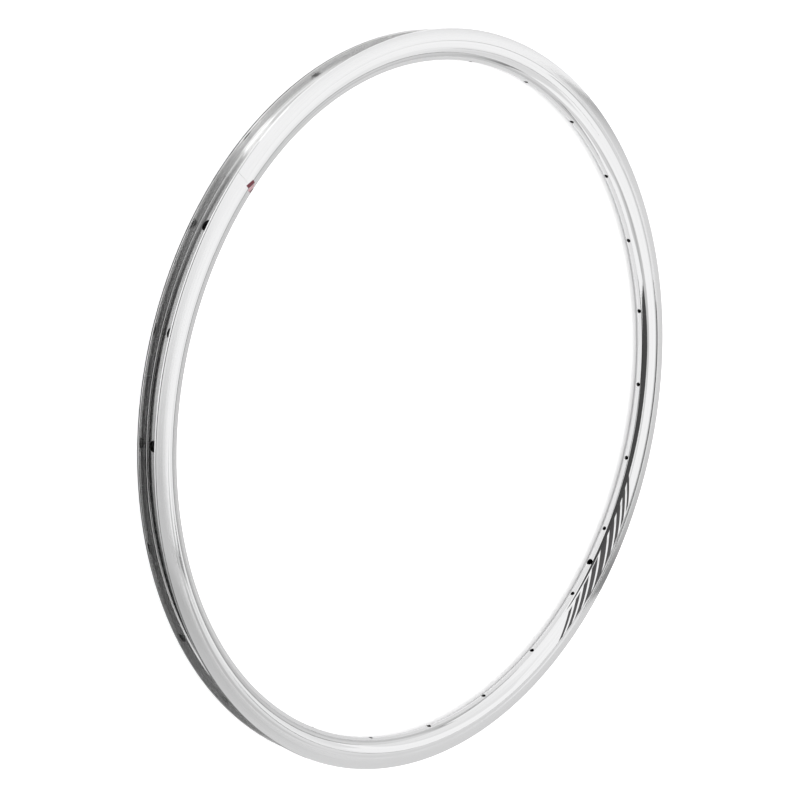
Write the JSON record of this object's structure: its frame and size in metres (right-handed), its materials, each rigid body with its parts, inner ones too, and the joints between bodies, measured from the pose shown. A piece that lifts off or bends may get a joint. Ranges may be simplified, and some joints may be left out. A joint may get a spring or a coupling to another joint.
{
  "type": "bicycle rim",
  "caption": "Polished aluminium bicycle rim: a rolled hollow hoop with hooked flanges, flat brake tracks, staggered spoke holes, a valve hole and a sleeved joint.",
  "frame": {"origin": "centre of the wheel, in the rim's middle plane", "axes": "+Z along the wheel's axis, up from the side it lies on; +X through the valve hole"},
  "size_m": [0.6339, 0.634, 0.0224],
  "materials": {
    "polished_rim": "polished",
    "sleeve_metal": "satin"
  },
  "bodies": {
    "root": {"rim_hoop": "polished_rim", "joint_sleeve": "sleeve_metal"}
  },
  "joints": []
}
